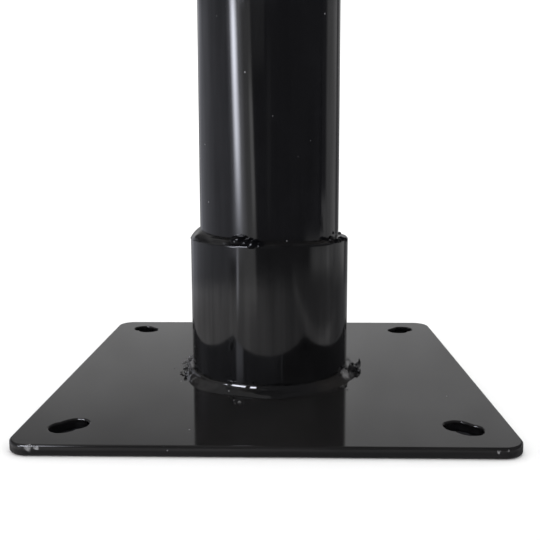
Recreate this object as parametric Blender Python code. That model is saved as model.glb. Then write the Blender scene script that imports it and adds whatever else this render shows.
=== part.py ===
"""Deck-mounted pool handrail: one bent steel tube standing in two welded feet.

Metres, +Z up. The origin is on the deck, halfway between the two posts. The rail lies in
the XZ plane. Each foot is a square plate with four slots, a sleeve round the post's end,
a weld between sleeve and plate and a weld between the sleeve's rim and the post.
"""

import math

import bmesh
import bpy
from mathutils import Matrix, Vector

# Driving dimensions.
GAP = 0.0003
POST_SPACING = 0.610
RAIL_HEIGHT = 0.864
TUBE_DIAMETER = 0.0508
TUBE_WALL = 0.0020
BEND_RADIUS = 0.1524
PLATE_SIDE = 0.146
PLATE_THICKNESS = 0.0033
PLATE_CORNER_RADIUS = 0.0066
SLOT_SPACING = 0.117
SLOT_WIDTH = 0.0088
SLOT_LENGTH = 0.0132
SLEEVE_DIAMETER = 0.0577
SLEEVE_CLEARANCE = 0.0004
SLEEVE_HEIGHT = 0.0497
FOOT_WELD_WIDTH = 0.0043
FOOT_WELD_HEIGHT = 0.0029
RIM_WELD_HEIGHT = 0.0030
RIM_WELD_SET_BACK = 0.0002

# Worked out from them.
TUBE_RADIUS = TUBE_DIAMETER / 2
SLEEVE_RADIUS = SLEEVE_DIAMETER / 2
SLEEVE_BORE_RADIUS = TUBE_RADIUS + SLEEVE_CLEARANCE
TUBE_FOOT_Z = PLATE_THICKNESS + GAP
SLEEVE_TOP_Z = TUBE_FOOT_Z + SLEEVE_HEIGHT
RAIL_CENTRE_Z = RAIL_HEIGHT - TUBE_RADIUS
BEND_START_Z = RAIL_CENTRE_Z - BEND_RADIUS
TOP_STRAIGHT = POST_SPACING - 2 * BEND_RADIUS

# How finely the curves are cut.
TUBE_SIDES = 40
BEND_STEPS = 10
SLEEVE_SIDES = 48
CORNER_STEPS = 6
SLOT_END_STEPS = 10
WELD_SIDES = 72
WELD_CROWN_STEPS = 3

FEET = {"left": -POST_SPACING / 2, "right": POST_SPACING / 2}
BLACK_PAINT = (0.012, 0.012, 0.014, 1.0)
BLACK_WELD_PAINT = (0.016, 0.016, 0.019, 1.0)


def clear_scene():
    for thing in list(bpy.data.objects):
        bpy.data.objects.remove(thing, do_unlink=True)


def painted(name, colour, roughness):
    """A coat of gloss paint over steel."""
    material = bpy.data.materials.new(name)
    material.use_nodes = True
    shader = material.node_tree.nodes["Principled BSDF"]
    shader.inputs["Base Color"].default_value = colour
    shader.inputs["Metallic"].default_value = 0.0
    shader.inputs["Roughness"].default_value = roughness
    shader.inputs["Coat Weight"].default_value = 1.0
    return material


def make_object(name, bm, material, parent=None, smooth_degrees=40):
    """Turns a finished bmesh into a named object, with its round faces shaded smooth."""
    bmesh.ops.recalc_face_normals(bm, faces=bm.faces)
    mesh = bpy.data.meshes.new(name)
    bm.to_mesh(mesh)
    bm.free()
    mesh.shade_smooth()
    mesh.set_sharp_from_angle(angle=math.radians(smooth_degrees))
    mesh.materials.append(material)
    thing = bpy.data.objects.new(name, mesh)
    bpy.context.collection.objects.link(thing)
    thing.parent = parent
    return thing


def add_circle(bm, radius, sides, z):
    """Adds a level circle round the Z axis and returns its edges."""
    place = Matrix.Translation((0.0, 0.0, z))
    verts = bmesh.ops.create_circle(bm, segments=sides, radius=radius, matrix=place)["verts"]
    return list({edge for vert in verts for edge in vert.link_edges})


def loop_edges(geometry):
    """The edges in geometry that join two of its own verts."""
    verts = {item for item in geometry if isinstance(item, bmesh.types.BMVert)}
    edges = (item for item in geometry if isinstance(item, bmesh.types.BMEdge))
    return [edge for edge in edges if edge.verts[0] in verts and edge.verts[1] in verts]


def run_straight(bm, edges, offset):
    """Draws open loops out along a straight line and returns the loops at its end."""
    made = bmesh.ops.extrude_edge_only(bm, edges=edges)["geom"]
    verts = [item for item in made if isinstance(item, bmesh.types.BMVert)]
    bmesh.ops.translate(bm, verts=verts, vec=offset)
    return loop_edges(made)


def run_bend(bm, edges, centre):
    """Turns open loops through a quarter circle about the Y axis."""
    verts = list({vert for edge in edges for vert in edge.verts})
    turned = bmesh.ops.spin(
        bm,
        geom=verts + list(edges),
        cent=centre,
        axis=(0.0, 1.0, 0.0),
        angle=math.pi / 2,
        steps=BEND_STEPS,
    )
    return loop_edges(turned["geom_last"])


def make_rail_tube(material):
    """The hollow tube: up the left post, over the top and down the right post."""
    bm = bmesh.new()
    edges = add_circle(bm, TUBE_RADIUS, TUBE_SIDES, TUBE_FOOT_Z)
    bmesh.ops.translate(bm, verts=bm.verts, vec=(FEET["left"], 0.0, 0.0))

    post = Vector((0.0, 0.0, BEND_START_Z - TUBE_FOOT_Z))
    bend_x = POST_SPACING / 2 - BEND_RADIUS
    edges = run_straight(bm, edges, post)
    edges = run_bend(bm, edges, (-bend_x, 0.0, BEND_START_Z))
    edges = run_straight(bm, edges, (TOP_STRAIGHT, 0.0, 0.0))
    edges = run_bend(bm, edges, (bend_x, 0.0, BEND_START_Z))
    run_straight(bm, edges, -post)

    tube = make_object("rail_tube", bm, material)
    wall = tube.modifiers.new("wall", "SOLIDIFY")
    wall.thickness = TUBE_WALL
    wall.offset = -1.0
    wall.use_even_offset = True
    return tube


def arc_points(centre, radius, start_degrees, sweep_degrees, steps):
    """Points along an arc in plan, both ends included."""
    points = []
    for step in range(steps + 1):
        angle = math.radians(start_degrees + sweep_degrees * step / steps)
        x = centre[0] + radius * math.cos(angle)
        y = centre[1] + radius * math.sin(angle)
        points.append((x, y))
    return points


def extrude_outline(points, low_z, high_z):
    """A flat-sided solid from a plan outline."""
    bm = bmesh.new()
    face = bm.faces.new([bm.verts.new((x, y, low_z)) for x, y in points])
    made = bmesh.ops.extrude_face_region(bm, geom=[face])["geom"]
    top = [item for item in made if isinstance(item, bmesh.types.BMVert)]
    bmesh.ops.translate(bm, verts=top, vec=(0.0, 0.0, high_z - low_z))
    return bm


def plate_outline():
    """A square with rounded corners, counter-clockwise from the +X side."""
    reach = PLATE_SIDE / 2 - PLATE_CORNER_RADIUS
    points = []
    for quarter, (sx, sy) in enumerate(((1, 1), (-1, 1), (-1, -1), (1, -1))):
        centre = (sx * reach, sy * reach)
        points += arc_points(centre, PLATE_CORNER_RADIUS, 90 * quarter, 90, CORNER_STEPS)
    return points


def slot_outline():
    """A slot along X round the origin: two half circles and two straight sides."""
    reach = (SLOT_LENGTH - SLOT_WIDTH) / 2
    points = arc_points((reach, 0.0), SLOT_WIDTH / 2, -90, 180, SLOT_END_STEPS)
    points += arc_points((-reach, 0.0), SLOT_WIDTH / 2, 90, 180, SLOT_END_STEPS)
    return points


def slot_cutter(name, foot):
    """The four slots' cutter. Each slot points at the middle of the plate."""
    joined = bmesh.new()
    for quarter in range(4):
        diagonal = math.radians(45 + 90 * quarter)
        reach = SLOT_SPACING / math.sqrt(2)
        one = extrude_outline(slot_outline(), -PLATE_THICKNESS, 2 * PLATE_THICKNESS)
        bmesh.ops.transform(
            one,
            verts=one.verts,
            matrix=Matrix.Rotation(diagonal, 4, "Z") @ Matrix.Translation((reach, 0.0, 0.0)),
        )
        piece = bpy.data.meshes.new(name)
        one.to_mesh(piece)
        one.free()
        joined.from_mesh(piece)
        bpy.data.meshes.remove(piece)
    bmesh.ops.recalc_face_normals(joined, faces=joined.faces)
    mesh = bpy.data.meshes.new(name)
    joined.to_mesh(mesh)
    joined.free()
    cutter = bpy.data.objects.new(name, mesh)
    bpy.context.collection.objects.link(cutter)
    cutter.parent = foot
    cutter.hide_render = True
    cutter.display_type = "WIRE"
    return cutter


def make_base_plate(side, foot, material):
    bm = extrude_outline(plate_outline(), 0.0, PLATE_THICKNESS)
    plate = make_object(f"{side}_base_plate", bm, material, foot)
    cut = plate.modifiers.new("slots", "BOOLEAN")
    cut.operation = "DIFFERENCE"
    cut.solver = "EXACT"
    cut.object = slot_cutter(f"{side}_slot_cutter", foot)
    return plate


def turned_ring(profile, sides, swell=None):
    """Turns a closed profile of (radius, z) points about Z.

    swell(angle) scales each point's distance from the profile's first point, which is the
    corner that the ring sits in.
    """
    bm = bmesh.new()
    corner_r, corner_z = profile[0]
    rings = []
    for side in range(sides):
        angle = 2 * math.pi * side / sides
        scale = swell(angle) if swell else 1.0
        ring = []
        for radius, z in profile:
            r = corner_r + (radius - corner_r) * scale
            height = corner_z + (z - corner_z) * scale
            ring.append(bm.verts.new((r * math.cos(angle), r * math.sin(angle), height)))
        rings.append(ring)
    count = len(profile)
    for side in range(sides):
        here, following = rings[side], rings[(side + 1) % sides]
        for i in range(count):
            j = (i + 1) % count
            bm.faces.new((here[i], following[i], following[j], here[j]))
    return bm


def make_sleeve(side, foot, material):
    profile = [
        (SLEEVE_BORE_RADIUS, TUBE_FOOT_Z),
        (SLEEVE_RADIUS, TUBE_FOOT_Z),
        (SLEEVE_RADIUS, SLEEVE_TOP_Z),
        (SLEEVE_BORE_RADIUS, SLEEVE_TOP_Z),
    ]
    return make_object(f"{side}_sleeve", turned_ring(profile, SLEEVE_SIDES), material, foot)


def fillet_profile(corner_r, corner_z, width, height):
    """A weld fillet: two legs out of a corner and a slightly crowned face between them."""
    points = [(corner_r, corner_z)]
    crown = 0.12
    for step in range(WELD_CROWN_STEPS + 1):
        share = step / WELD_CROWN_STEPS
        bulge = 1 + crown * math.sin(math.pi * share)
        points.append((corner_r + width * (1 - share) * bulge, corner_z + height * share * bulge))
    return points


def hand_laid(phase):
    """The uneven size of a hand-laid bead, as a factor near 1 that changes with the angle."""

    def swell(angle):
        slow = 0.05 * math.sin(5 * angle + phase)
        quick = 0.06 * math.sin(17 * angle + 2 * phase)
        return 1 + slow + quick

    return swell


def make_foot_weld(side, foot, material, phase):
    profile = fillet_profile(
        SLEEVE_RADIUS + GAP, PLATE_THICKNESS + GAP, FOOT_WELD_WIDTH, FOOT_WELD_HEIGHT
    )
    bm = turned_ring(profile, WELD_SIDES, hand_laid(phase))
    return make_object(f"{side}_foot_weld", bm, material, foot)


def make_rim_weld(side, foot, material, phase):
    corner_r = TUBE_RADIUS + GAP
    width = SLEEVE_RADIUS - RIM_WELD_SET_BACK - corner_r
    profile = fillet_profile(corner_r, SLEEVE_TOP_Z + GAP, width, RIM_WELD_HEIGHT)
    bm = turned_ring(profile, WELD_SIDES, hand_laid(phase))
    return make_object(f"{side}_rim_weld", bm, material, foot)


def make_foot(side, x, paint, weld_paint, phase):
    """One complete foot, under an empty on its post's axis."""
    foot = bpy.data.objects.new(f"{side}_foot", None)
    bpy.context.collection.objects.link(foot)
    foot.location = (x, 0.0, 0.0)
    make_base_plate(side, foot, paint)
    make_sleeve(side, foot, paint)
    make_foot_weld(side, foot, weld_paint, phase)
    make_rim_weld(side, foot, weld_paint, phase + 1.0)


def main():
    clear_scene()
    tube_paint = painted("tube_paint", BLACK_PAINT, 0.12)
    foot_paint = painted("foot_paint", BLACK_PAINT, 0.16)
    weld_paint = painted("weld_paint", BLACK_WELD_PAINT, 0.2)
    make_rail_tube(tube_paint)
    for number, (side, x) in enumerate(FEET.items()):
        make_foot(side, x, foot_paint, weld_paint, phase=2.0 * number)


main()
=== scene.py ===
"""Looks of the pool handrail: gloss-black painted steel, seen at one foot from deck height."""

import math

import bmesh
import bpy
from mathutils import Euler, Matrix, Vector, noise


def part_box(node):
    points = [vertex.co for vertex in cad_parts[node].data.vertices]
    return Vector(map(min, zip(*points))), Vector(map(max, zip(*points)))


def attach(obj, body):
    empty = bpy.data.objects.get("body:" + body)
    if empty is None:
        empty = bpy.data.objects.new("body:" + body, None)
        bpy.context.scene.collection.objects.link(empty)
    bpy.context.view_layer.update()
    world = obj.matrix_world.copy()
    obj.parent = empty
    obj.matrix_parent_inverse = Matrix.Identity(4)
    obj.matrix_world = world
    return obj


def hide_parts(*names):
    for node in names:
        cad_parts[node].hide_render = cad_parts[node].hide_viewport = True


MM = 0.001

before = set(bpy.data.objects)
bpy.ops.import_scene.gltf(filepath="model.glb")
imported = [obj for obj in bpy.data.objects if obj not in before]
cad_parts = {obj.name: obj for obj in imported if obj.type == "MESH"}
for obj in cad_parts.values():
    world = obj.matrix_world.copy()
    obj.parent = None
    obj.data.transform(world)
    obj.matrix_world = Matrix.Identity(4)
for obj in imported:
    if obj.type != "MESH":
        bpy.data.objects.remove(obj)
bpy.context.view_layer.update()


# ---------------------------------------------------------------- sizes, read from the frame


def middle_x(node):
    low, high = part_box(node)
    return (low[0] + high[0]) / 2


SIDES = ("left", "right")
POST_X = {side: middle_x(f"{side}_sleeve") for side in SIDES}
PLATE_LOW, PLATE_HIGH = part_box("left_base_plate")
PLATE_SIDE = PLATE_HIGH[0] - PLATE_LOW[0]
PLATE_TOP = PLATE_HIGH[2]
SLEEVE_LOW, SLEEVE_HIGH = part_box("left_sleeve")
SLEEVE_RADIUS = (SLEEVE_HIGH[0] - SLEEVE_LOW[0]) / 2
SLEEVE_FOOT, SLEEVE_TOP = SLEEVE_LOW[2], SLEEVE_HIGH[2]
TUBE_LOW, TUBE_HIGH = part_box("rail_tube")
TUBE_RADIUS = (TUBE_HIGH[1] - TUBE_LOW[1]) / 2
TUBE_FOOT = TUBE_LOW[2]
TUBE_WALL = 2.0 * MM
BEND_RADIUS = 152.4 * MM
RAIL_Z = TUBE_HIGH[2] - TUBE_RADIUS

CORNER_RADIUS = 6.6 * MM
# Each slot is two holes of this radius, shifted this far either way from its middle.
SLOT_OFFSET = 58.5 * MM
SLOT_RADIUS = 4.2 * MM
SLOT_SHIFT = 1.9 * MM
SLOT_RAGGED = 0.22 * MM

# The welds' features are placed in degrees round a post, as ring_spot counts them. On each foot
# they are turned by this much, so that the two feet aren't copies.
FEATURE_TURN = {"left": 0.0, "right": 145.0}

# Dull crust on the foot weld, and a pale colour on the droplets in front of it that is a
# painted highlight: (degrees, distance out from the sleeve, reach), and its height over the plate.
CRUST_AND_GLINT = (
    (-90.0, 3.0 * MM, 11.0 * MM),
    (63.0, 0.8 * MM, 3.8 * MM),
    (-14.0, 10.4 * MM, 3.2 * MM),
)
CRUST_AND_GLINT_RISE = 1.8 * MM

# Painted shade on the rim weld's lumps, darker and less glossy: (degrees, reach), and its
# distance out from the tube and height over the sleeve.
RIM_LUMP_SHADE = ((-20.0, 6.5 * MM), (-10.0, 6.0 * MM), (62.0, 9.0 * MM), (153.0, 6.0 * MM))
LUMP_SHADE_OUT, LUMP_SHADE_RISE = 3.0 * MM, 0.5 * MM

EDGE_ROUND = 0.7 * MM
SLOT_EDGE_ROUND = 0.5 * MM
BORE_PLAY = 0.15 * MM
WALL_WAVE = 0.03 * MM
# How far the welds are sunk into the steel.
PAINT_OVERLAP = 0.35 * MM


# ---------------------------------------------------------------- mesh helpers


def turn_outward(mesh):
    """Makes every face of a closed mesh point outward."""
    bm = bmesh.new()
    bm.from_mesh(mesh)
    bmesh.ops.recalc_face_normals(bm, faces=bm.faces)
    bm.to_mesh(mesh)
    bm.free()


def new_object(name, vertices, faces, material, smooth=True):
    mesh = bpy.data.meshes.new(name)
    mesh.from_pydata(vertices, [], faces)
    mesh.validate()
    turn_outward(mesh)
    for polygon in mesh.polygons:
        polygon.use_smooth = smooth
    mesh.materials.append(material)
    thing = bpy.data.objects.new(name, mesh)
    bpy.context.collection.objects.link(thing)
    return thing


def bridge(faces, first, second, count):
    """Quads between two rings of count vertices, given by the index each ring starts at."""
    for i in range(count):
        j = (i + 1) % count
        faces.append((first + i, first + j, second + j, second + i))


def ring_spot(x, radius, degrees, z):
    """A point round a post. Degrees run counter-clockwise from -Y, where the photo is taken."""
    angle = math.radians(degrees)
    return (x + radius * math.sin(angle), -radius * math.cos(angle), z)


def fit_object(thing, *nodes, slot):
    """Makes a piece stand for its CAD nodes and ride with the rail."""
    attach(thing, "root")
    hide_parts(*nodes)


# ---------------------------------------------------------------- materials


class Tree:
    """A short way to write shader nodes."""

    def __init__(self, node_tree):
        self.tree = node_tree

    def add(self, kind, inputs=None, **settings):
        node = self.tree.nodes.new(kind)
        for key, value in settings.items():
            setattr(node, key, value)
        for key, value in (inputs or {}).items():
            self.set(node.inputs[key], value)
        return node

    def set(self, socket, value):
        if isinstance(value, bpy.types.NodeSocket):
            self.tree.links.new(value, socket)
        else:
            socket.default_value = value

    def math(self, operation, first, second=0.0, clamp=False):
        node = self.add("ShaderNodeMath", {0: first, 1: second}, operation=operation)
        node.use_clamp = clamp
        return node.outputs[0]

    def vector(self, operation, first, second):
        node = self.add("ShaderNodeVectorMath", {0: first, 1: second}, operation=operation)
        return node.outputs[0]

    def scaled(self, vector, factor):
        node = self.add("ShaderNodeVectorMath", {0: vector, "Scale": factor}, operation="SCALE")
        return node.outputs[0]

    def ramp(self, value, low, high, to_low=0.0, to_high=1.0):
        """Eases from to_low to to_high as value goes from low to high."""
        node = self.add(
            "ShaderNodeMapRange",
            {"Value": value, 1: low, 2: high, 3: to_low, 4: to_high},
            interpolation_type="SMOOTHSTEP",
        )
        return node.outputs[0]

    def window(self, value, low, high, soft):
        """1 where value is between low and high, 0 outside, with eased sides."""
        rise = self.ramp(value, low - soft, low + soft)
        fall = self.ramp(value, high - soft, high + soft, 1.0, 0.0)
        return self.math("MULTIPLY", rise, fall)

    def noise(self, coordinates, scale, detail=2.0, roughness=0.5):
        node = self.add(
            "ShaderNodeTexNoise",
            {"Vector": coordinates, "Scale": scale, "Detail": detail, "Roughness": roughness},
        )
        return node.outputs["Fac"]

    def mix_colour(self, factor, first, second):
        node = self.add("ShaderNodeMix", data_type="RGBA")
        self.set(node.inputs[0], factor)
        self.set(node.inputs[6], first)
        self.set(node.inputs[7], second)
        return node.outputs[2]

    def stretched(self, coordinates, scale):
        node = self.add("ShaderNodeMapping", {"Vector": coordinates})
        node.inputs["Scale"].default_value = scale
        return node.outputs[0]


def specks(tree, coordinates, per_metre, size, share):
    """Small round specks: 1 inside a speck, in only some of a Voronoi pattern's cells."""
    cells = tree.add("ShaderNodeTexVoronoi", {"Vector": coordinates, "Scale": per_metre})
    near = tree.ramp(cells.outputs["Distance"], size * 0.6, size, 1.0, 0.0)
    shade = tree.add("ShaderNodeSeparateColor", {"Color": cells.outputs["Color"]})
    chosen = tree.math("LESS_THAN", shade.outputs[0], share)
    return tree.math("MULTIPLY", near, chosen)


# How fine the paint's patterns are, in repeats per metre. A speck's size is a share of its cell.
FILM_SCALE, PATCH_SCALE, GRIT_SCALE = 38.0, 9.0, 620.0
PEEL_COARSE_SCALE, PEEL_FINE_SCALE = 210.0, 1500.0
SCRATCH_SCALE = (26.0, 900.0, 26.0)
SPECK_SCALE, SPECK_SIZE = 220.0, 0.075
SPECK_COLOUR = (0.16, 0.16, 0.17, 1.0)
SCRATCH_COLOUR = (0.03, 0.03, 0.032, 1.0)
# The rim lumps' painted shade: a darker colour and a duller shine than the rest of the paint.
LUMP_SHADE_COLOUR = (0.002, 0.002, 0.0026, 1.0)
PAINT_SPECULAR, LUMP_SHADE_SPECULAR = 0.5, 0.13
PAINT_IOR = 1.5
# How far below the plate's top the painted shade on its edge is full, and where it ends.
EDGE_SHADE_FULL_DEPTH, EDGE_SHADE_END_DEPTH = 1.1 * MM, 0.3 * MM


def gloss_paint(
    name,
    base,
    dust,
    roughness,
    peel,
    speck_share,
    scratches=0.0,
    wear_and_glint_mask=None,
    wear_and_glint_colour=None,
    metal=0.0,
    lump_shade=None,
    edge=None,
):
    """Gloss-black paint: orange peel, a film of dust, specks, and wear and painted light if asked.

    base and dust are colours, peel is the height of the orange peel in metres, and scratches
    the share of fine lines. One mask marks spots of wear through the paint, and on a weld dull
    crust and a painted highlight on the droplets in front; they take their own colour, and metal
    their metallic level. Another mask marks painted shade on lumps: darker and less glossy. edge
    is the colour of a plate's edge, painted shade that keeps it darker than the top.
    """
    material = bpy.data.materials.new(name)
    material.use_nodes = True
    tree = Tree(material.node_tree)
    shader = material.node_tree.nodes["Principled BSDF"]
    place = tree.add("ShaderNodeTexCoord").outputs["Object"]

    film = tree.noise(place, FILM_SCALE, 4.0, 0.6)
    patches = tree.noise(place, PATCH_SCALE, 3.0, 0.55)
    speck = specks(tree, place, SPECK_SCALE, SPECK_SIZE, speck_share)
    film_share = tree.ramp(film, 0.4, 0.75)
    colour = tree.mix_colour(film_share, (*base, 1.0), (*dust, 1.0))
    # Painted shade: the plate's edge is darker than its top.
    if edge:
        level = tree.add("ShaderNodeSeparateXYZ", {0: place}).outputs["Z"]
        on_top = tree.ramp(level, PLATE_TOP - EDGE_SHADE_FULL_DEPTH, PLATE_TOP - EDGE_SHADE_END_DEPTH)
        colour = tree.mix_colour(on_top, (*edge, 1.0), colour)
    colour = tree.mix_colour(speck, colour, SPECK_COLOUR)

    rough = tree.ramp(patches, 0.3, 0.7, roughness * 0.7, roughness * 1.5)
    if scratches:
        lines = tree.noise(tree.stretched(place, SCRATCH_SCALE), 1.0, 3.0, 0.7)
        line_share = tree.math("MULTIPLY", tree.ramp(lines, 0.62, 0.74), scratches)
        rough = tree.math("ADD", rough, line_share)
        colour = tree.mix_colour(line_share, colour, SCRATCH_COLOUR)
    rough = tree.math("ADD", rough, tree.math("MULTIPLY", speck, 0.4))

    # Wear through the paint; on the welds, crust, and a painted highlight on the front droplets.
    if wear_and_glint_mask:
        wear_and_glint = wear_and_glint_mask(tree, place)
        grit = tree.noise(place, GRIT_SCALE, 5.0, 0.75)
        wear_and_glint = tree.math("MULTIPLY", wear_and_glint, tree.ramp(grit, 0.28, 0.6), clamp=True)
        colour = tree.mix_colour(wear_and_glint, colour, (*wear_and_glint_colour, 1.0))
        rough = tree.math("ADD", rough, tree.math("MULTIPLY", wear_and_glint, 0.5))
        if metal:
            tree.set(shader.inputs["Metallic"], tree.math("MULTIPLY", wear_and_glint, metal))

    coarse = tree.noise(place, PEEL_COARSE_SCALE, 2.0, 0.5)
    fine = tree.noise(place, PEEL_FINE_SCALE, 2.0, 0.5)
    height = tree.math("ADD", coarse, tree.math("MULTIPLY", fine, 0.12))
    height = tree.math("ADD", height, tree.math("MULTIPLY", speck, 1.5))
    bump = tree.add("ShaderNodeBump", {"Strength": 1.0, "Distance": peel, "Height": height})

    # Painted shade: the rim lumps are darker and less glossy than the paint round them.
    if lump_shade:
        thick = lump_shade(tree, place)
        colour = tree.mix_colour(thick, colour, LUMP_SHADE_COLOUR)
        level = tree.ramp(thick, 0.0, 1.0, PAINT_SPECULAR, LUMP_SHADE_SPECULAR)
        tree.set(shader.inputs["Specular IOR Level"], level)

    tree.set(shader.inputs["Base Color"], colour)
    tree.set(shader.inputs["Roughness"], rough)
    tree.set(shader.inputs["Normal"], bump.outputs[0])
    shader.inputs["IOR"].default_value = PAINT_IOR
    return material


def spot_mask(tree, place, centre, reach):
    """1 at centre, easing to 0 at reach from it."""
    apart = tree.add("ShaderNodeVectorMath", {0: place, 1: centre}, operation="DISTANCE")
    return tree.ramp(apart.outputs["Value"], reach * 0.35, reach, 1.0, 0.0)


# Worn spots on the front corners of each plate's edge: (distance right of the post, distance
# behind the edge, depth below the top, reach), in mm. Their outlines wander by up to half of
# the wobble.
PLATE_CHIPS = (
    (-65.6, 0.0, 0.8, 1.3),
    (-63.4, 0.0, 0.7, 0.9),
    (64.8, 0.0, 1.0, 0.55),
    (67.0, 0.1, 0.9, 0.55),
)
CHIP_WOBBLE, CHIP_WOBBLE_SCALE = 2.2 * MM, 700.0


def plate_chips(tree, place):
    """Ragged worn spots on the two front corners of each plate's edge."""
    wobble = tree.add(
        "ShaderNodeTexNoise", {"Vector": place, "Scale": CHIP_WOBBLE_SCALE, "Detail": 3.0}
    )
    wobble = tree.vector("SUBTRACT", wobble.outputs["Color"], (0.5, 0.5, 0.5))
    ragged = tree.vector("ADD", place, tree.scaled(wobble, CHIP_WOBBLE))
    front = -PLATE_SIDE / 2
    total = 0.0
    for x in POST_X.values():
        for right, behind, depth, reach in PLATE_CHIPS:
            centre = (x + right * MM, front + behind * MM, PLATE_TOP - depth * MM)
            spot = spot_mask(tree, ragged, centre, reach * MM)
            total = tree.math("MAXIMUM", total, spot)
    return total


def weld_crust_and_glint(tree, place):
    """The dull, crusty patches of each foot weld, and the painted highlight on its front droplets.
    """
    total = 0.0
    for side, x in POST_X.items():
        for degrees, out, reach in CRUST_AND_GLINT:
            turn = degrees + FEATURE_TURN[side]
            centre = ring_spot(x, SLEEVE_RADIUS + out, turn, PLATE_TOP + CRUST_AND_GLINT_RISE)
            total = tree.math("MAXIMUM", total, spot_mask(tree, place, centre, reach))
    return total


def weld_lump_shade(tree, place):
    """Painted shade on the lumps of each rim weld: darker and less glossy."""
    total = 0.0
    for side, x in POST_X.items():
        for degrees, reach in RIM_LUMP_SHADE:
            turn = degrees + FEATURE_TURN[side]
            centre = ring_spot(x, TUBE_RADIUS + LUMP_SHADE_OUT, turn, SLEEVE_TOP + LUMP_SHADE_RISE)
            total = tree.math("MAXIMUM", total, spot_mask(tree, place, centre, reach))
    return total


def make_materials():
    return {
        "tube": gloss_paint(
            "tube_paint",
            base=(0.0036, 0.0036, 0.0043),
            dust=(0.0052, 0.0052, 0.0062),
            roughness=0.06,
            peel=6e-6,
            speck_share=0.35,
        ),
        "sleeve": gloss_paint(
            "sleeve_paint",
            base=(0.0034, 0.0034, 0.0038),
            dust=(0.0055, 0.0055, 0.006),
            roughness=0.06,
            peel=9e-6,
            speck_share=0.15,
        ),
        "plate": gloss_paint(
            "plate_paint",
            base=(0.0078, 0.0075, 0.0076),
            dust=(0.0105, 0.0101, 0.0102),
            roughness=0.055,
            peel=3.5e-6,
            speck_share=0.06,
            scratches=0.05,
            wear_and_glint_mask=plate_chips,
            wear_and_glint_colour=(0.34, 0.34, 0.35),
            metal=0.4,
            # The edge colour is painted shade, darker than the plate's top.
            edge=(0.0042, 0.0041, 0.0045),
        ),
        "weld": gloss_paint(
            "weld_paint",
            base=(0.0066, 0.0066, 0.0071),
            dust=(0.0125, 0.0112, 0.0102),
            roughness=0.07,
            peel=1.2e-5,
            speck_share=0.1,
            # Crust, and a pale colour on the front droplets that is a painted highlight.
            wear_and_glint_mask=weld_crust_and_glint,
            wear_and_glint_colour=(0.145, 0.143, 0.145),
            # Painted shade on the rim lumps.
            lump_shade=weld_lump_shade,
        ),
    }


# ---------------------------------------------------------------- the rail tube


def tube_path():
    """Centre line of the rail: (point, direction) pairs, up the left post and down the right."""
    left, right = POST_X["left"], POST_X["right"]
    bend_z = RAIL_Z - BEND_RADIUS
    straight_steps, bend_steps, top_steps = 40, 40, 16
    points = []
    for step in range(straight_steps):
        z = TUBE_FOOT + (bend_z - TUBE_FOOT) * step / straight_steps
        points.append(((left, z), (0.0, 1.0)))
    for step in range(bend_steps):
        angle = math.pi / 2 * step / bend_steps
        x = left + BEND_RADIUS * (1 - math.cos(angle))
        z = bend_z + BEND_RADIUS * math.sin(angle)
        points.append(((x, z), (math.sin(angle), math.cos(angle))))
    for step in range(top_steps):
        x = left + BEND_RADIUS + (right - left - 2 * BEND_RADIUS) * step / top_steps
        points.append(((x, RAIL_Z), (1.0, 0.0)))
    for step in range(bend_steps):
        angle = math.pi / 2 * step / bend_steps
        x = right - BEND_RADIUS * (1 - math.sin(angle))
        z = bend_z + BEND_RADIUS * math.cos(angle)
        points.append(((x, z), (math.cos(angle), -math.sin(angle))))
    for step in range(straight_steps + 1):
        z = bend_z + (TUBE_FOOT - bend_z) * step / straight_steps
        points.append(((right, z), (0.0, -1.0)))
    return points


def make_rail_tube(material):
    """A hollow bent tube, outer and inner wall joined at its two open ends."""
    sides = 160
    path = tube_path()
    vertices, faces = [], []
    for radius in (TUBE_RADIUS, TUBE_RADIUS - TUBE_WALL):
        for (x, z), (dx, dz) in path:
            for side in range(sides):
                angle = 2 * math.pi * side / sides
                across, y = radius * math.cos(angle), radius * math.sin(angle)
                vertices.append((x + across * dz, y, z - across * dx))
    wall = len(path) * sides
    for ring in range(len(path) - 1):
        bridge(faces, ring * sides, (ring + 1) * sides, sides)
        bridge(faces, wall + (ring + 1) * sides, wall + ring * sides, sides)
    bridge(faces, wall, 0, sides)
    last = (len(path) - 1) * sides
    bridge(faces, last, wall + last, sides)
    tube = new_object("painted_rail_tube", vertices, faces, material)
    fit_object(tube, "rail_tube", slot="tube_paint")


# ---------------------------------------------------------------- the base plates


def corner_outline(half, radius, steps):
    """A rounded square as (point, outward normal) pairs, counter-clockwise."""
    reach = half - radius
    outline = []
    for quarter, (sx, sy) in enumerate(((1, 1), (-1, 1), (-1, -1), (1, -1))):
        for step in range(steps + 1):
            angle = math.pi / 2 * (quarter + step / steps)
            normal = Vector((math.cos(angle), math.sin(angle)))
            outline.append((Vector((sx * reach, sy * reach)) + radius * normal, normal))
    return outline


def slot_outline(centre, diagonal, seed):
    """Two overlapping punched holes: (point, normal into the opening) pairs."""
    count = 112
    points = []
    for step in range(count):
        angle = 2 * math.pi * step / count
        along = SLOT_SHIFT * math.cos(angle)
        off = SLOT_SHIFT * math.sin(angle)
        reach = abs(along) + math.sqrt(SLOT_RADIUS**2 - off**2)
        flank = abs(math.sin(angle))
        turned = angle + diagonal
        # The kink where the holes meet shows on the front flank and is cut straight on the other.
        kinked = math.sin(turned) < 0
        if flank > 0.75 and not kinked:
            reach = max(reach, SLOT_RADIUS * 0.97 / flank)
        ragged = noise.noise(Vector((3 * math.cos(angle), 3 * math.sin(angle), seed * 7.3)))
        reach += SLOT_RAGGED * ragged
        points.append(centre + reach * Vector((math.cos(turned), math.sin(turned))))
    outline = []
    for i, point in enumerate(points):
        ahead, behind = points[(i + 1) % count], points[i - 1]
        run = (ahead - behind).normalized()
        outline.append((point, Vector((-run.y, run.x))))
    return outline


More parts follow.
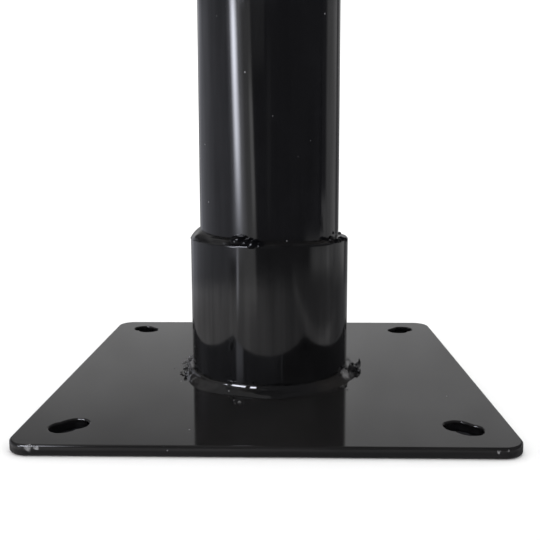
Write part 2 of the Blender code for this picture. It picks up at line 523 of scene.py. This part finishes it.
def edge_profile(top, bottom, rounding, steps=5):
    """(inset, z) pairs from the top face round both edges to the bottom face."""
    profile = []
    for step in range(steps + 1):
        angle = math.pi / 2 * step / steps
        inset = rounding * (1 - math.sin(angle))
        profile.append((inset, top - rounding * (1 - math.cos(angle))))
    for step in range(steps + 1):
        angle = math.pi / 2 * step / steps
        inset = rounding * (1 - math.cos(angle))
        profile.append((inset, bottom + rounding * (1 - math.sin(angle))))
    return profile


def make_base_plate(side, material):
    """A square plate with rounded, painted edges and four ragged slots."""
    bm = bmesh.new()
    centre = Vector((POST_X[side], 0.0))
    seed = 1 + SIDES.index(side)
    outline = corner_outline(PLATE_SIDE / 2, CORNER_RADIUS, 14)
    loops = [(outline, EDGE_ROUND, False, Vector((0, 0)))]
    for quarter, (sx, sy) in enumerate(((1, 1), (-1, 1), (-1, -1), (1, -1))):
        diagonal = math.pi / 4 + quarter * math.pi / 2
        place = Vector((sx * SLOT_OFFSET, sy * SLOT_OFFSET))
        outline = slot_outline(Vector((0, 0)), diagonal, seed * 4 + quarter)
        loops.append((outline, SLOT_EDGE_ROUND, True, place))
    caps = {"top": [], "bottom": []}
    for outline, rounding, is_slot, place in loops:
        profile = edge_profile(PLATE_TOP, PLATE_LOW[2], rounding)
        rings = []
        for inset, z in profile:
            ring = []
            for point, normal in outline:
                # An outline's own normal points out of the plate, a slot's into its opening.
                spot = centre + place + point - inset * normal
                ring.append(bm.verts.new((spot.x, spot.y, z)))
            rings.append(ring)
        count = len(outline)
        for upper, lower in zip(rings, rings[1:]):
            for i in range(count):
                j = (i + 1) % count
                corners = (upper[i], lower[i], lower[j], upper[j])
                face = bm.faces.new(corners[::-1] if is_slot else corners)
                face.smooth = True
        for name, ring in (("top", rings[0]), ("bottom", rings[-1])):
            caps[name] += [bm.edges.get((ring[i], ring[(i + 1) % count])) for i in range(count)]
    for name, edges in caps.items():
        filled = bmesh.ops.triangle_fill(bm, edges=edges, use_beauty=True)["geom"]
        up = 1.0 if name == "top" else -1.0
        for face in (item for item in filled if isinstance(item, bmesh.types.BMFace)):
            face.smooth = False
            face.normal_update()
            if face.normal.z * up < 0:
                face.normal_flip()
    mesh = bpy.data.meshes.new(f"painted_{side}_base_plate")
    bm.to_mesh(mesh)
    bm.free()
    turn_outward(mesh)
    mesh.materials.append(material)
    plate = bpy.data.objects.new(mesh.name, mesh)
    bpy.context.collection.objects.link(plate)
    fit_object(plate, f"{side}_base_plate", slot="plate_paint")


# ---------------------------------------------------------------- the sleeves


def sleeve_profile():
    """(radius, z) points: up the outside, over the rounded rim and down the bore."""
    bore = TUBE_RADIUS + BORE_PLAY
    rim_round = 0.6 * MM
    support = 0.15 * MM
    wall_steps, steps = 8, 6
    straight = SLEEVE_TOP - rim_round - support - SLEEVE_FOOT
    points = [
        (SLEEVE_RADIUS, SLEEVE_FOOT + straight * step / wall_steps)
        for step in range(wall_steps + 1)
    ]
    for step in range(steps + 1):
        angle = math.pi / 2 * step / steps
        radius = SLEEVE_RADIUS - rim_round * (1 - math.cos(angle))
        points.append((radius, SLEEVE_TOP - rim_round * (1 - math.sin(angle))))
    points.append((bore, SLEEVE_TOP))
    points.append((bore, SLEEVE_FOOT))
    return points


def make_sleeve(side, material):
    """A short heavy collar with a softened top rim and a slightly uneven wall."""
    sides = 200
    profile = sleeve_profile()
    vertices, faces = [], []
    for radius, z in profile:
        for step in range(sides):
            angle = 2 * math.pi * step / sides
            spot = Vector((math.cos(angle), math.sin(angle), z / (60 * MM)))
            wave = WALL_WAVE * noise.noise(spot * 1.7 + Vector((0, 0, SIDES.index(side) * 9)))
            r = radius + wave
            vertices.append((POST_X[side] + r * math.cos(angle), r * math.sin(angle), z))
    for ring in range(len(profile)):
        bridge(faces, ring * sides, (ring + 1) % len(profile) * sides, sides)
    sleeve = new_object(f"painted_{side}_sleeve", vertices, faces, material)
    sleeve.data.set_sharp_from_angle(angle=math.radians(50))
    fit_object(sleeve, f"{side}_sleeve", slot="sleeve_paint")


# ---------------------------------------------------------------- the welds


def bead_noise(turn, across, frequency, seed):
    """Smooth noise on a ring, from about -1 to 1, that joins up after a full turn."""
    ring = frequency / (2 * math.pi)
    angle = math.radians(turn)
    spot = Vector((ring * math.cos(angle), ring * math.sin(angle), across + seed * 11.7))
    return noise.noise(spot)


def swell(turn, centre, spread):
    """A smooth swelling round a bead: 1 at centre, nearly 0 past twice the spread, in degrees."""
    apart = (turn - centre + 180) % 360 - 180
    return math.exp(-((apart / spread) ** 2))


def add_bead(vertices, faces, x, corner_r, corner_z, shape_at, hem, sides=720, steps=18):
    """A fillet bead round a post.

    shape_at(turn, share) gives (out, up) from the corner, from the outer toe at share 0 to
    the upper toe at share 1. Both toes and the corner are sunk into the steel, and hem is how
    far the face goes on below the outer toe, so that the toe is shaded like the face.
    """
    start = len(vertices)
    # The corner and two points under the outer toe, the face, and one point at the upper toe.
    ring_size = 3 + (steps + 1) + 1
    for side in range(sides):
        turn = 360 * side / sides
        surface = [shape_at(turn, step / steps) for step in range(steps + 1)]
        (toe_out, toe_up), (_, top_up) = surface[0], surface[-1]
        ring = [
            (-PAINT_OVERLAP, -PAINT_OVERLAP),
            (toe_out * 0.9, toe_up - PAINT_OVERLAP),
            (toe_out + hem, toe_up - 0.67 * hem),
        ]
        ring += surface
        ring.append((-PAINT_OVERLAP, top_up * 0.98))
        for out, up in ring:
            vertices.append(ring_spot(x, corner_r + out, turn, corner_z + up))
    for side in range(sides):
        here = start + side * ring_size
        following = start + (side + 1) % sides * ring_size
        for i in range(ring_size):
            j = (i + 1) % ring_size
            faces.append((here + i, following + i, following + j, here + j))


BIG_DROP = 1.5 * MM


def add_drop(vertices, faces, centre, size, seed, squash=0.6):
    """A lumpy droplet of spatter, round its centre. A big one is smoother than a small one."""
    columns, rows = 24, 14
    uneven = 0.35 if size < BIG_DROP else 0.12
    start = len(vertices)

    def place(tilt, turn):
        level = math.sin(tilt)
        out = Vector((level * math.cos(turn), level * math.sin(turn), math.cos(tilt)))
        lump = 1 + uneven * noise.noise(out * 1.6 + Vector((seed * 5.1, 0, 0)))
        spot = Vector(centre) + Vector((out.x, out.y, out.z * squash)) * size * lump
        vertices.append(tuple(spot))

    place(0.0, 0.0)
    for row in range(1, rows):
        for column in range(columns):
            place(math.pi * row / rows, 2 * math.pi * column / columns)
    place(math.pi, 0.0)
    end = len(vertices) - 1
    first, last = start + 1, end - columns
    for column in range(columns):
        following = (column + 1) % columns
        faces.append((start, first + column, first + following))
        faces.append((last + column, end, last + following))
    for row in range(rows - 2):
        bridge(faces, first + (row + 1) * columns, first + row * columns, columns)


def add_burr(vertices, faces, points, radii, seed):
    """A curled sliver of metal: a rough tapering tube through points."""
    sides = 12
    start = len(vertices)
    points = [Vector(p) for p in points]
    for index, (point, radius) in enumerate(zip(points, radii)):
        ahead = points[min(index + 1, len(points) - 1)]
        behind = points[max(index - 1, 0)]
        frame_turn = (ahead - behind).to_track_quat("Z", "Y")
        for side in range(sides):
            angle = 2 * math.pi * side / sides
            rough = 1 + 0.3 * noise.noise(Vector((index * 0.9, side * 0.7, seed * 3.3)))
            offset = Vector((math.cos(angle), math.sin(angle), 0)) * radius * rough
            vertices.append(tuple(point + frame_turn @ offset))
    for ring in range(len(points) - 1):
        bridge(faces, start + ring * sides, start + (ring + 1) * sides, sides)
    faces.append(tuple(start + i for i in range(sides))[::-1])
    end = start + (len(points) - 1) * sides
    faces.append(tuple(end + i for i in range(sides)))


# A bead's face leans about 45 degrees, so relief on it goes this share out and this share up.
SLANT = 0.7

FOOT_WELD_WIDTH = 4.2 * MM
FOOT_WELD_HEIGHT = 2.8 * MM
# Ridges along the foot weld: (share of the way up its face, spread, height in mm).
FOOT_WELD_RIDGES = ((0.87, 0.15, 0.76), (0.25, 0.13, 0.1))
# The smooth stretch of its upper ridge, where a highlight runs: degrees, spread, how smooth.
CALM_TURN, CALM_SPREAD, CALM_SHARE = -20.5, 7, 0.85
# Where the foot weld spreads wider or runs thinner: (degrees, spread, millimetres wider).
FOOT_WELD_SWELLS = (
    (-42, 15, 1.7),
    (4, 12, 1.6),
    (-86, 20, -2.3),
    (84, 20, -1.0),
    (150, 25, 1.0),
    (-145, 20, -0.7),
)


def make_foot_weld(side, material):
    """The bead between sleeve and plate: wide, glossy and lumpy, ridged near its upper edge."""
    x, seed, turned = POST_X[side], 3 + 5 * SIDES.index(side), FEATURE_TURN[side]
    vertices, faces = [], []

    def shape_at(turn, share):
        slow = bead_noise(turn, 0.0, 8, seed)
        quick = bead_noise(turn, 4.0, 30, seed)
        width = FOOT_WELD_WIDTH * (1 + 0.06 * slow + 0.07 * quick)
        for centre, spread, wider in FOOT_WELD_SWELLS:
            width += wider * MM * swell(turn - turned, centre, spread)
        uneven = bead_noise(turn, 9.0, 10, seed)
        height = FOOT_WELD_HEIGHT * (1 + 0.16 * uneven + 0.1 * quick)
        crown = 0.04 * math.sin(math.pi * share)
        ridges = sum(
            rise * MM * math.exp(-(((share - place) / spread) ** 2))
            for place, spread, rise in FOOT_WELD_RIDGES
        )
        ripple = 0.05 * MM * math.sin(math.radians(turn) * 47 + 2.4 * math.sin(math.pi * share))
        lumps = (0.1 + 0.45 * share) * MM * bead_noise(turn, share * 2.2, 22, seed)
        grain = 0.08 * MM * bead_noise(turn, share * 6, 80, seed)
        calm = CALM_SHARE * swell(turn - turned, CALM_TURN, CALM_SPREAD)
        lift = ridges + (ripple + lumps) * (1 - calm) + grain
        lift *= SLANT * min(1.0, 2.5 * share, 5 * (1 - share))
        return width * (1 - share + crown) + lift, height * (share + crown) + lift

    add_bead(vertices, faces, x, SLEEVE_RADIUS, PLATE_TOP, shape_at, 0.3 * MM)
    add_foot_spatter(vertices, faces, x, seed, turned)
    weld = new_object(f"painted_{side}_foot_weld", vertices, faces, material)
    fit_object(weld, f"{side}_foot_weld", slot="weld_paint")


def chance(*numbers):
    """A repeatable number from 0 to 1 that depends on the numbers given."""
    spot = Vector([1.37 * n + 0.61 for n in (*numbers, 0.0, 0.0)[:3]])
    return min(1.0, abs(noise.noise(spot)) * 1.7)


# Droplets on the plate in front of the weld: (degrees, distance out from the sleeve, size), in mm.
FRONT_DROPS = ((-13.0, 10.9, 0.6), (-16.4, 9.4, 0.3), (-10.6, 11.2, 0.3), (-14.8, 11.8, 0.25))
# Clusters of droplets at the foot of the sleeve: how many, then degrees, distance out from the
# sleeve, height over the plate and size, each from a lowest value and by a range, then squash.
# Lengths are in mm. The first is the crust on the left, and the others are on the right.
DROP_CLUSTERS = (
    (46, (-106, 29), (0.4, 4.6), (0.2, 4.0), (0.35, 0.7), 0.45),
    (24, (78, 15), (1.6, 3.2), (0.3, 2.4), (0.35, 0.65), 0.6),
    (14, (56, 12), (0.1, 1.6), (2.2, 1.8), (0.35, 0.5), 0.6),
)
CLUSTER_DRAW = 5
SCATTERED_DROPS = 16


def add_foot_spatter(vertices, faces, x, seed, turned):
    """Droplets round the bead and in front of it, the clusters, and the burrs on its right."""
    toe = SLEEVE_RADIUS + 4.3 * MM
    for index in range(SCATTERED_DROPS):
        turn = turned + 360 * index / SCATTERED_DROPS + 20 * chance(index, seed)
        size = (0.14 + 0.3 * chance(index, seed, 2)) * MM
        spot = ring_spot(x, toe + 6 * MM * chance(index, seed, 4), turn, PLATE_TOP)
        add_drop(vertices, faces, spot, size, seed + index)
    for turn, out, size in FRONT_DROPS:
        spot = ring_spot(x, SLEEVE_RADIUS + out * MM, turned + turn, PLATE_TOP + 0.15 * MM)
        add_drop(vertices, faces, spot, size * MM, seed + turn, squash=0.8)
    for number, (count, *ranges, squash) in enumerate(DROP_CLUSTERS):
        (turn_low, turn_range), (out_low, out_range), (up_low, up_range), size_span = ranges
        first = CLUSTER_DRAW + 4 * number
        for index in range(count):
            shares = [chance(index, seed, first + draw) for draw in range(4)]
            turn = turned + turn_low + turn_range * shares[0]
            out = SLEEVE_RADIUS + (out_low + out_range * shares[1]) * MM
            z = PLATE_TOP + (up_low + up_range * shares[2]) * MM
            size = (size_span[0] + size_span[1] * shares[3]) * MM
            add_drop(vertices, faces, ring_spot(x, out, turn, z), size, seed + index, squash)
    add_hooks(vertices, faces, x, seed, turned)


# Curled slivers of metal at the right of the foot weld. Each is a list of
# (degrees, distance out from the sleeve, height over the plate, thickness), in mm.
HOOKS = (
    (
        (76, 1.0, 1.2, 1.5),
        (82, 2.6, 1.0, 1.3),
        (87, 3.8, 0.9, 1.0),
        (90, 4.7, 1.2, 0.8),
        (91, 5.1, 2.1, 0.5),
        (91, 4.9, 3.4, 0.2),
    ),
    ((80, 2.2, 1.0, 1.0), (86, 3.6, 1.6, 0.7), (88, 4.3, 2.6, 0.3)),
    ((80, 1.4, 1.0, 1.2), (86, 3.4, 0.8, 0.8), (91, 5.2, 0.9, 0.4)),
)


def add_hooks(vertices, faces, x, seed, turned):
    for index, hook in enumerate(HOOKS):
        points = [
            ring_spot(x, SLEEVE_RADIUS + out * MM, turned + turn, PLATE_TOP + up * MM)
            for turn, out, up, _ in hook
        ]
        add_burr(vertices, faces, points, [thick * MM for *_, thick in hook], seed + index)


# Lumps on the rim bead: (degrees, distance out from the tube, height over the rim, size,
# squash), in mm.
RIM_LUMPS = (
    (-21.5, 0.8, 1.2, 3.3, 0.66),
    (-15.0, 1.2, 0.5, 2.6, 0.7),
    (-10.5, 1.3, 0.0, 2.5, 0.75),
    (-5.5, 1.8, -0.3, 1.6, 0.8),
    (-31.0, 2.0, 0.2, 1.4, 0.5),
    (52.0, 2.2, 0.6, 1.2, 0.8),
    (56.0, 2.6, 0.2, 1.3, 0.8),
    (61.0, 2.6, 0.0, 1.1, 0.7),
    (67.0, 2.4, 0.3, 1.3, 0.7),
    (73.0, 2.8, -0.3, 1.2, 0.8),
    (70.0, 1.4, 2.2, 0.55, 0.9),
    (150.0, 2.6, 0.2, 1.6, 0.7),
    (157.0, 2.8, -0.4, 1.5, 0.8),
    (-140.0, 2.5, 0.4, 1.4, 0.7),
)


# The rim bead is fullest at this turn. Its height, in mm, where it is thinnest, and what is
# added where it is fullest.
RIM_FULL_TURN = -95
RIM_BEAD_THIN, RIM_BEAD_ADDED = 0.9, 3.1


def make_rim_weld(side, material):
    """The bead on the sleeve's rim: smooth and full on one side, thin on the other."""
    x, seed, turned = POST_X[side], 2 + 6 * SIDES.index(side), FEATURE_TURN[side]
    rim_width = SLEEVE_RADIUS - TUBE_RADIUS
    vertices, faces = [], []

    def shape_at(turn, share):
        full = (0.5 + 0.5 * math.cos(math.radians(turn - turned - RIM_FULL_TURN))) ** 2.5
        width = rim_width * (0.9 + 0.14 * full + 0.06 * bead_noise(turn, 0.0, 20, seed))
        height = (RIM_BEAD_THIN + RIM_BEAD_ADDED * full) * MM
        height *= 1 + 0.2 * bead_noise(turn, 4.0, 16, seed)
        crown = 0.1 * math.sin(math.pi * share)
        lumps = 0.22 * MM * bead_noise(turn, share * 2.0, 40, seed)
        lift = SLANT * lumps * min(1.0, 5 * share, 5 * (1 - share))
        return width * (1 - share + crown) + lift, height * (share + crown) + lift

    add_bead(vertices, faces, x, TUBE_RADIUS, SLEEVE_TOP - 0.1 * MM, shape_at, 0.06 * MM)
    for turn, out, up, size, squash in RIM_LUMPS:
        spot = ring_spot(x, TUBE_RADIUS + out * MM, turned + turn, SLEEVE_TOP + up * MM)
        add_drop(vertices, faces, spot, size * MM, seed + turn, squash)
    weld = new_object(f"painted_{side}_rim_weld", vertices, faces, material)
    fit_object(weld, f"{side}_rim_weld", slot="weld_paint")


# ---------------------------------------------------------------- studio


def band_colour(tree, azimuth, elevation, panel, dimming=1.0):
    """One soft-edged card of the studio, as a colour that depends on direction only."""
    (az_low, az_high, az_soft), (el_low, el_high, el_soft), colour, strength = panel
    share = tree.math(
        "MULTIPLY",
        tree.window(azimuth, az_low, az_high, az_soft),
        tree.window(elevation, el_low, el_high, el_soft),
    )
    share = tree.math("MULTIPLY", share, dimming)
    return tree.scaled(colour, tree.math("MULTIPLY", share, strength))


COOL = (0.93, 0.95, 1.06)
NEUTRAL = (1.0, 1.0, 1.0)
WARM = (1.01, 0.99, 1.0)
# Azimuth is 0 towards the photographer and grows to the right; both angles are in degrees.
# Each panel: azimuth (from, to, softness), elevation (from, to, softness), colour, strength.
# The leaning ones shift by half of the elevation, and end where the ceiling begins.
LEANING_PANELS = (
    ((-54.4, -47.4, 4.5), (0.5, 15, 9), COOL, 24.0),
    ((-60, -40, 6), (-7.2, 13, 2), COOL, 1.5),
    ((-48, -22.5, 2), (-11.5, 13, 2.5), NEUTRAL, 0.58),
    ((-28, -23.0, 1.5), (-5, 6, 3), NEUTRAL, 0.9),
)
STUDIO_PANELS = (
    ((-155, -57, 7), (-11, 13, 2.5), COOL, 0.37),
    ((-46.0, -43.4, 1.4), (-11.8, -7.5, 1.8), COOL, 2.9),
    ((-47.5, -37.0, 2), (12.5, 18.2, 1.2), COOL, 3.0),
    ((17.8, 19.4, 0.8), (15.2, 18.2, 0.6), COOL, 1.0),
    ((106, 140, 4), (-9.4, 13, 2), NEUTRAL, 0.36),
    ((92, 106, 2.5), (-9.4, -3.5, 0.8), NEUTRAL, 0.40),
    ((62, 95, 5), (-9.4, -7.0, 0.6), NEUTRAL, 0.55),
    # A small high lamp, which the welds, the rounded edges and the bends of the rail catch.
    ((-56, -27, 3), (28, 46, 3), COOL, 22.0),
    ((-165, -50, 15), (36, 100, 10), NEUTRAL, 0.25),
    ((-125, 14, 14), (13.5, 21.0, 2.5), COOL, 0.45),
    ((14, 70, 10), (18.2, 21.0, 1.2), NEUTRAL, 0.45),
    ((-30, -6, 2), (7, 14, 1), NEUTRAL, 0.14),
    ((-2, 4, 1.2), (-6, 9, 3), NEUTRAL, 0.05),
)
DARK_ROOM = (0.07, 0.07, 0.075)
LEAN = 0.5
CEILING_FROM, CEILING_TO = 12.0, 14.3
EVEN_LIGHT = 1.25
# The light seam on the deck, and how bright it is.
SEAM_FROM, SEAM_TO, SEAM_GLOW = 3.62, 3.95, 0.34


def deck_glow(tree, direction, turned, elevation):
    """The deck in front: paler on the left, with a light seam and a dimmer part on the right.

    Its place is where the ray would meet a floor one unit below.
    """
    parts = tree.add("ShaderNodeSeparateXYZ", {0: direction})
    drop = tree.math("MAXIMUM", tree.math("MULTIPLY", parts.outputs["Z"], -1.0), 0.05)
    right = tree.math("DIVIDE", parts.outputs["X"], drop)
    away = tree.math("DIVIDE", parts.outputs["Y"], drop)
    across = tree.math("SUBTRACT", right, tree.math("MULTIPLY", away, 0.15))
    shade = tree.ramp(right, -2.6, 0.6, 0.70, 0.35)
    shade = tree.math("MULTIPLY", shade, tree.ramp(turned, 80, 145, 1.0, 0.25))
    shade = tree.math("MULTIPLY", shade, tree.ramp(right, 0.4, 3.0, 1.0, 0.62))
    seam = tree.window(across, SEAM_FROM, SEAM_TO, 0.12)
    seam = tree.math("MULTIPLY", seam, tree.ramp(turned, 92, 108, 1.0, 0.0))
    shade = tree.math("ADD", shade, tree.math("MULTIPLY", seam, SEAM_GLOW))
    beyond = tree.ramp(across, 3.85, 4.05)
    dimmed = tree.math("SUBTRACT", 1.0, tree.math("MULTIPLY", beyond, 0.3))
    shade = tree.math("MULTIPLY", shade, dimmed)
    streaks = tree.noise(tree.stretched(direction, (7.0, 7.0, 1.6)), 1.0, 3.0, 0.65)
    shade = tree.math("MULTIPLY", shade, tree.ramp(streaks, 0.32, 0.68, 0.84, 1.16))
    edge = tree.math("ADD", elevation, tree.math("MULTIPLY", beyond, -1.2))
    shade = tree.math("MULTIPLY", shade, tree.ramp(edge, -11.3, -9.7, 1.0, 0.0))
    shade = tree.math("MULTIPLY", shade, tree.ramp(elevation, -23, -18, 0.5, 1.0))
    return tree.scaled(WARM, shade)


def backdrop_glow(tree, azimuth, turned, elevation):
    """The pale backdrop behind the object, brighter above the horizon and fading on the left."""
    behind = tree.ramp(turned, 142, 162)
    rise = tree.ramp(elevation, 0, 13, 0.16, 0.5)
    fall = tree.ramp(elevation, 20, 45, 1.0, 0.12)
    share = tree.math("MULTIPLY", tree.math("MULTIPLY", rise, fall), behind)
    on_left = tree.ramp(elevation, 13, 27, 1.0, 0.45)
    on_right = tree.ramp(elevation, 12, 20, 0.80, 0.95)
    is_right = tree.math("GREATER_THAN", azimuth, 0.0)
    is_left = tree.math("SUBTRACT", 1.0, is_right)
    side_share = tree.math("MULTIPLY", on_left, is_left)
    side_share = tree.math("ADD", side_share, tree.math("MULTIPLY", on_right, is_right))
    return tree.scaled(NEUTRAL, tree.math("MULTIPLY", share, side_share))


def make_world():
    """White to the eye, even and white for soft light, and a studio of cards in reflections."""
    world = bpy.data.worlds.new("studio")
    bpy.context.scene.world = world
    world.use_nodes = True
    world.cycles.sampling_method = "NONE"
    world.node_tree.nodes.clear()
    tree = Tree(world.node_tree)
    direction = tree.add("ShaderNodeTexCoord").outputs["Generated"]
    parts = tree.add("ShaderNodeSeparateXYZ", {0: direction})
    toward = tree.math("MULTIPLY", parts.outputs["Y"], -1.0)
    in_degrees = 180 / math.pi
    azimuth = tree.math("ARCTAN2", parts.outputs["X"], toward)
    azimuth = tree.math("MULTIPLY", azimuth, in_degrees)
    turned = tree.math("ABSOLUTE", azimuth)
    elevation = tree.math("MULTIPLY", tree.math("ARCSINE", parts.outputs["Z"]), in_degrees)

    total = backdrop_glow(tree, azimuth, turned, elevation)
    leaning = tree.math("ADD", azimuth, tree.math("MULTIPLY", elevation, LEAN))
    ceiling = tree.ramp(elevation, CEILING_FROM, CEILING_TO, 1.0, 0.0)
    cards = [band_colour(tree, leaning, elevation, panel, ceiling) for panel in LEANING_PANELS]
    cards += [band_colour(tree, azimuth, elevation, panel) for panel in STUDIO_PANELS]
    cards.append(deck_glow(tree, direction, turned, elevation))
    for card in (*cards, DARK_ROOM):
        total = tree.vector("ADD", total, card)
    cloud = tree.noise(tree.stretched(direction, (3.4, 3.4, 5.0)), 1.0, 3.0, 0.6)
    uneven = tree.ramp(cloud, 0.3, 0.7, 0.84, 1.16)

    studio = tree.add("ShaderNodeBackground", {"Color": tree.scaled(total, uneven)})
    white = (1.0, 1.0, 1.0, 1.0)
    even = tree.add("ShaderNodeBackground", {"Color": white, "Strength": EVEN_LIGHT})
    glossy = tree.add("ShaderNodeLightPath").outputs["Is Glossy Ray"]
    both = tree.add(
        "ShaderNodeMixShader", {0: glossy, 1: even.outputs[0], 2: studio.outputs[0]}
    )
    output = tree.add("ShaderNodeOutputWorld")
    tree.set(output.inputs["Surface"], both.outputs[0])


# How far the floor reaches, how far the dark sheets of painted shade stay inside the plates, and
# how far both lie below.
FLOOR_REACH = 12.0
SHADE_SHEET_INSET = 6 * MM
FLOOR_DROP, SHADE_SHEET_DROP = 0.1 * MM, 0.05 * MM


def square_corners(x, reach):
    return [
        (x - reach, -reach, 0),
        (x + reach, -reach, 0),
        (x + reach, reach, 0),
        (x - reach, reach, 0),
    ]


def make_floor():
    """A wide pale floor. The cards stand in for it in reflections."""
    material = bpy.data.materials.new("floor")
    material.use_nodes = True
    shader = material.node_tree.nodes["Principled BSDF"]
    shader.inputs["Base Color"].default_value = (0.86, 0.86, 0.86, 1.0)
    shader.inputs["Roughness"].default_value = 0.9
    shader.inputs["Specular IOR Level"].default_value = 0.0
    corners = square_corners(0.0, FLOOR_REACH)
    floor = new_object("floor", corners, [(0, 1, 2, 3)], material, smooth=False)
    floor.location.z = PLATE_LOW[2] - FLOOR_DROP
    floor.visible_glossy = False


def make_shade_sheets():
    """A thin dark sheet under each plate, painted shade that shows through the slots."""
    material = bpy.data.materials.new("shade_sheet")
    material.use_nodes = True
    shader = material.node_tree.nodes["Principled BSDF"]
    shader.inputs["Base Color"].default_value = (0.004, 0.004, 0.005, 1.0)
    shader.inputs["Roughness"].default_value = 0.8
    for side, x in POST_X.items():
        corners = square_corners(x, PLATE_SIDE / 2 - SHADE_SHEET_INSET)
        shade_sheet = new_object(f"{side}_mat", corners, [(0, 1, 2, 3)], material, smooth=False)
        shade_sheet.location.z = PLATE_LOW[2] - SHADE_SHEET_DROP


def make_overhead_light():
    """One large softbox overhead, which grounds the feet with a faint soft shadow."""
    lamp = bpy.data.lights.new("overhead_softbox", "AREA")
    lamp.shape = "RECTANGLE"
    lamp.size = 1.6
    lamp.size_y = 1.2
    lamp.energy = 9.0
    light = bpy.data.objects.new("overhead_softbox", lamp)
    bpy.context.collection.objects.link(light)
    light.location = (-0.3, 0.5, 2.2)
    light.rotation_euler = Euler((math.radians(-12), 0.0, 0.0))
    light.visible_glossy = False
    light.visible_camera = False


# The camera, in units of the plate's side, from the middle of the left plate's top.
CAMERA_RIGHT, CAMERA_BACK, CAMERA_UP = 0.0422, 1.7696, 0.5474
CAMERA_YAW, CAMERA_PITCH, CAMERA_ROLL = 1.32, 7.31, -0.14
CAMERA_LENS = 46.90
CAMERA_SHIFT_Y = -0.0463


def make_camera():
    camera_data = bpy.data.cameras.new("camera")
    camera_data.lens = CAMERA_LENS
    camera_data.sensor_width = 36.0
    camera_data.shift_y = CAMERA_SHIFT_Y
    camera_data.clip_start = 0.01
    camera = bpy.data.objects.new("camera", camera_data)
    bpy.context.collection.objects.link(camera)
    camera.location = (
        POST_X["left"] + CAMERA_RIGHT * PLATE_SIDE,
        -CAMERA_BACK * PLATE_SIDE,
        PLATE_TOP + CAMERA_UP * PLATE_SIDE,
    )
    pitch = math.radians(90 - CAMERA_PITCH)
    camera.rotation_mode = "XYZ"
    turn = Euler((pitch, 0.0, math.radians(CAMERA_YAW))).to_matrix()
    roll = Euler((0.0, 0.0, math.radians(CAMERA_ROLL))).to_matrix()
    camera.rotation_euler = (turn @ roll).to_euler()
    bpy.context.scene.camera = camera


def main():
    scene = bpy.context.scene
    scene.view_settings.view_transform = "Standard"
    scene.view_settings.look = "None"
    make_camera()
    materials = make_materials()
    make_rail_tube(materials["tube"])
    for side in SIDES:
        make_base_plate(side, materials["plate"])
        make_sleeve(side, materials["sleeve"])
        make_foot_weld(side, materials["weld"])
        make_rim_weld(side, materials["weld"])
    make_world()
    make_floor()
    make_shade_sheets()
    make_overhead_light()


main()
